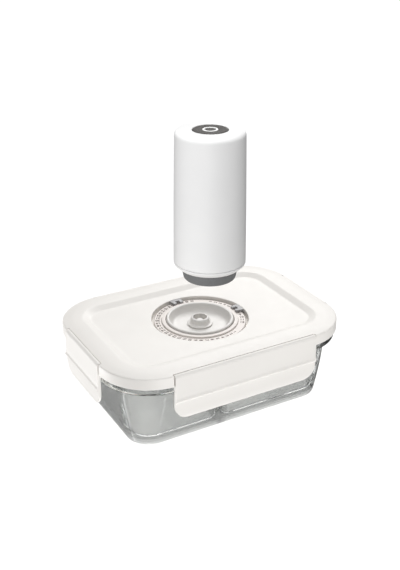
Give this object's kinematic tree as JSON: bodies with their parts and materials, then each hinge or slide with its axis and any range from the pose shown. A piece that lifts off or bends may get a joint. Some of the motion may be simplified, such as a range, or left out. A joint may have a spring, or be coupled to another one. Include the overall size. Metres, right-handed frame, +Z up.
{
  "type": "handheld vacuum food sealer set",
  "caption": "Rechargeable hand vacuum pump held above the valve of a latched lid with a date dial, on a glass food box with two compartments.",
  "frame": {"origin": "centre of the glass box's foot, on the surface that it stands on", "axes": "+X along the long side of the box to the right of the front latch, -Y towards the front, +Z up along the pump's axis"},
  "size_m": [0.2048, 0.1472, 0.2136],
  "materials": {
    "glass": "clear pressed glass",
    "lid_plastic": "satin moulded, warm white",
    "dish_plastic": "satin moulded, light warm grey",
    "clip_plastic": "satin moulded, grey",
    "pump_plastic": "fine satin, neutral white",
    "nozzle_rubber": "matt grey rubber",
    "button_plastic": "matt dark warm grey",
    "light": "translucent white",
    "silicone": "matt translucent white",
    "frame_plastic": "matt black",
    "steel": "brushed",
    "winding": "enamelled copper",
    "cell_wrap": "shrink wrapped cell",
    "board": "solder mask"
  },
  "bodies": {
    "container": {"glass_container": "glass"},
    "lid": {"lid_shell": "lid_plastic", "lid_gasket": "silicone", "valve_dish": "dish_plastic", "date_ring": "lid_plastic"},
    "release_valve": {"release_valve": "dish_plastic"},
    "front_latch": {"front_latch": "lid_plastic"},
    "right_latch": {"right_latch": "lid_plastic"},
    "back_latch": {"back_latch": "lid_plastic"},
    "left_latch": {"left_latch": "lid_plastic"},
    "day_pointer": {"day_pointer": "clip_plastic"},
    "month_pointer": {"month_pointer": "clip_plastic"},
    "pump": {"pump_housing": "pump_plastic", "base_cap": "pump_plastic", "suction_nozzle": "nozzle_rubber", "filter_screen": "steel", "inlet_plate": "frame_plastic", "suction_hose": "silicone", "inner_frame": "frame_plastic", "pump_head": "frame_plastic", "valve_plate": "dish_plastic", "diaphragm": "nozzle_rubber", "wobble_plate": "dish_plastic", "crank_case": "frame_plastic", "motor_can": "steel", "motor_endcap": "frame_plastic", "battery_cell": "cell_wrap", "control_board": "board", "tact_switch": "frame_plastic", "status_led": "light", "charging_socket": "steel", "plate_screw_1": "steel", "plate_screw_2": "steel", "board_screw_1": "steel", "board_screw_2": "steel"},
    "power_button": {"power_button": "button_plastic", "button_light_ring": "light"},
    "rotor": {"rotor": "winding", "motor_shaft": "steel", "eccentric_wheel": "dish_plastic"}
  },
  "joints": [
    {"name": "lid_lift", "type": "slide", "parent": "container", "child": "lid", "axis": [0, 0, 1], "range_m": [0, 0.05]},
    {"name": "front_latch_hinge", "type": "hinge", "parent": "lid", "child": "front_latch", "pos_m": [0, -0.0699, 0.0626], "axis": [-1, 0, 0], "range_deg": [0, 110]},
    {"name": "right_latch_hinge", "type": "hinge", "parent": "lid", "child": "right_latch", "pos_m": [0.0987, 0, 0.0626], "axis": [0, -1, 0], "range_deg": [0, 110]},
    {"name": "back_latch_hinge", "type": "hinge", "parent": "lid", "child": "back_latch", "pos_m": [0, 0.0699, 0.0626], "axis": [1, 0, 0], "range_deg": [0, 110]},
    {"name": "left_latch_hinge", "type": "hinge", "parent": "lid", "child": "left_latch", "pos_m": [-0.0987, 0, 0.0626], "axis": [0, 1, 0], "range_deg": [0, 110]},
    {"name": "day_pointer_turn", "type": "hinge", "parent": "lid", "child": "day_pointer", "pos_m": [0, 0, 0.0625], "axis": [0, 0, 1], "range_deg": [-22.2, 199.8]},
    {"name": "month_pointer_turn", "type": "hinge", "parent": "lid", "child": "month_pointer", "pos_m": [0, 0, 0.0625], "axis": [0, 0, 1], "range_deg": [-37, 44.4]},
    {"name": "valve_lift", "type": "slide", "parent": "lid", "child": "release_valve", "axis": [0, 0, 1], "range_m": [0, 0.002]},
    {"name": "pump_lift", "type": "slide", "parent": "lid", "child": "pump", "axis": [0.2124, 0, 0.9772], "range_m": [-0.04, 0.03]},
    {"name": "button_press", "type": "slide", "parent": "pump", "child": "power_button", "axis": [0, 0, -1], "range_m": [0, 0.0009], "stiffness_N_per_m": 1500, "springref_m": -0.0002},
    {"name": "motor_spin", "type": "hinge", "parent": "pump", "child": "rotor", "pos_m": [-0.0021, 0, 0.15], "axis": [0, 0, 1], "continuous": true}
  ]
}
